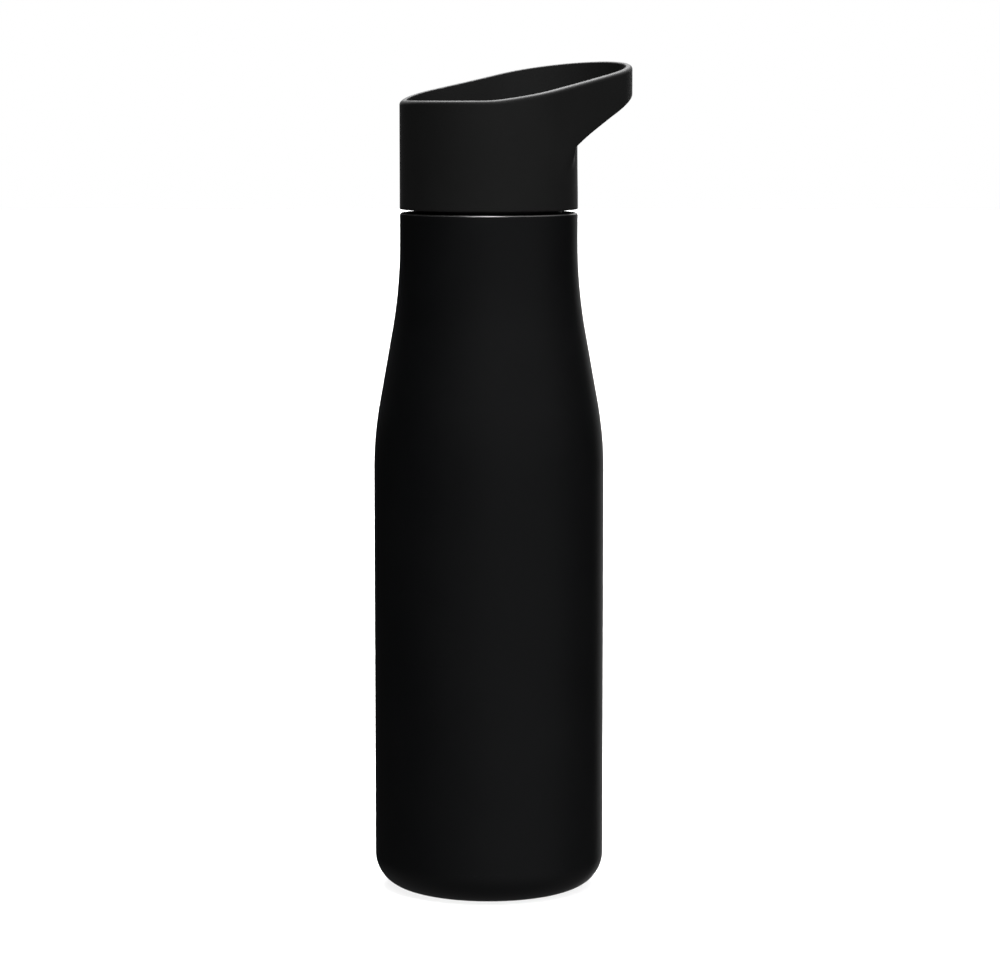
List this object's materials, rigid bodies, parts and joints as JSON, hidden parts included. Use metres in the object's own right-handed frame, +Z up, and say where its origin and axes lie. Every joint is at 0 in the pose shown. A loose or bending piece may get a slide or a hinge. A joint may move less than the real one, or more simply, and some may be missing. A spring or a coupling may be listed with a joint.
{
  "type": "insulated sports bottle",
  "caption": "Tall round double-wall steel drinking bottle with a drawn-in shoulder, a screw-on lid and a soft one-piece carry loop that leans out to one side.",
  "frame": {"origin": "on the bottle's axis, at the surface it stands on", "axes": "+Z up along the bottle's axis, +X towards the carry loop's tip, +Y across the loop"},
  "size_m": [0.0901, 0.072, 0.2592],
  "materials": {
    "coated_steel": "fine matte powder coat",
    "bare_steel": "turned, satin",
    "getter_metal": "sintered",
    "solder": "dull",
    "seal_silicone": "translucent silicone, satin",
    "lid_plastic": "fine moulded grain",
    "foam": "closed-cell foam",
    "sleeve_silicone": "soft-touch matte silicone"
  },
  "bodies": {
    "bottle": {"outer_shell": "coated_steel", "outer_base": "coated_steel", "inner_vessel": "bare_steel", "inner_base": "bare_steel", "getter": "getter_metal", "seal_bead": "solder", "base_cover": "bare_steel"},
    "lid_seal": {"seal_ring": "seal_silicone"},
    "lid": {"lid_cup": "lid_plastic", "lid_plug": "lid_plastic", "lid_liner": "bare_steel", "plug_foam": "foam", "foam_disc": "foam", "lid_cover": "lid_plastic", "loop_sleeve": "sleeve_silicone"}
  },
  "joints": [
    {"name": "lid_lift", "type": "slide", "parent": "bottle", "child": "lid_seal", "axis": [0, 0, 1], "range_m": [0, 0.02]},
    {"name": "lid_turn", "type": "hinge", "parent": "lid_seal", "child": "lid", "pos_m": [0, 0, 0.21], "axis": [0, 0, 1], "range_deg": [0, 900]}
  ],
  "couplings": [
    {"joint": "lid_lift", "follows": "lid_turn", "m_per_rad": 0.0012732}
  ]
}
